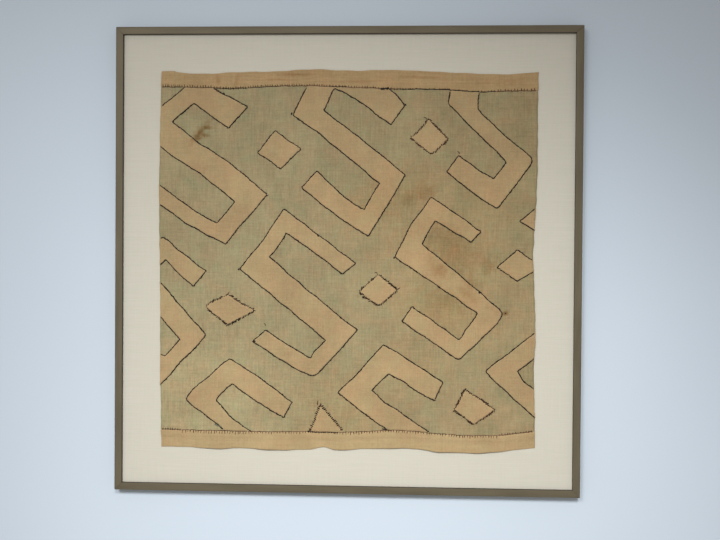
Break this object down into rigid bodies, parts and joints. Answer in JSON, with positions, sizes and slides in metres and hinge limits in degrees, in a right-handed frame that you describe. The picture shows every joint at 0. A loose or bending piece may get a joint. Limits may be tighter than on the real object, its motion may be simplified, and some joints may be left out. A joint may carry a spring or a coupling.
{
  "type": "kuba raffia cloth in a frame",
  "caption": "Square kuba cloth, a dyed raffia ground with sewn-on hook and diamond pieces and a strip along top and bottom, on a linen board in a thin mitred frame.",
  "frame": {"origin": "middle of the frame's back, on the surface that it lies on", "axes": "+Z out of the face, +X to the face's right, +Y to its top edge; the frame lies on its back"},
  "size_m": [0.838, 0.838, 0.025],
  "materials": {
    "bronze_rail": "satin, dull bronze",
    "linen": "plain woven linen, matt",
    "dyed_raffia": "plain woven raffia, dyed grey-green, faded",
    "undyed_raffia_strip": "plain woven raffia, undyed",
    "undyed_raffia_piece": "plain woven raffia, undyed"
  },
  "bodies": {
    "root": {"frame_rail_bottom": "bronze_rail", "frame_rail_right": "bronze_rail", "frame_rail_top": "bronze_rail", "frame_rail_left": "bronze_rail", "linen_board": "linen", "ground_cloth": "dyed_raffia", "border_strip_top": "undyed_raffia_strip", "border_strip_bottom": "undyed_raffia_strip", "hook_1": "undyed_raffia_piece", "hook_2": "undyed_raffia_piece", "hook_3": "undyed_raffia_piece", "hook_4": "undyed_raffia_piece", "hook_5": "undyed_raffia_piece", "hook_6_upper": "undyed_raffia_piece", "hook_6_lower": "undyed_raffia_piece", "hook_7": "undyed_raffia_piece", "hook_8": "undyed_raffia_piece", "hook_9": "undyed_raffia_piece", "hook_10": "undyed_raffia_piece", "patch_1": "undyed_raffia_piece", "patch_2": "undyed_raffia_piece", "patch_3": "undyed_raffia_piece", "patch_4": "undyed_raffia_piece", "patch_5": "undyed_raffia_piece", "patch_6": "undyed_raffia_piece", "patch_7": "undyed_raffia_piece"}
  },
  "joints": []
}
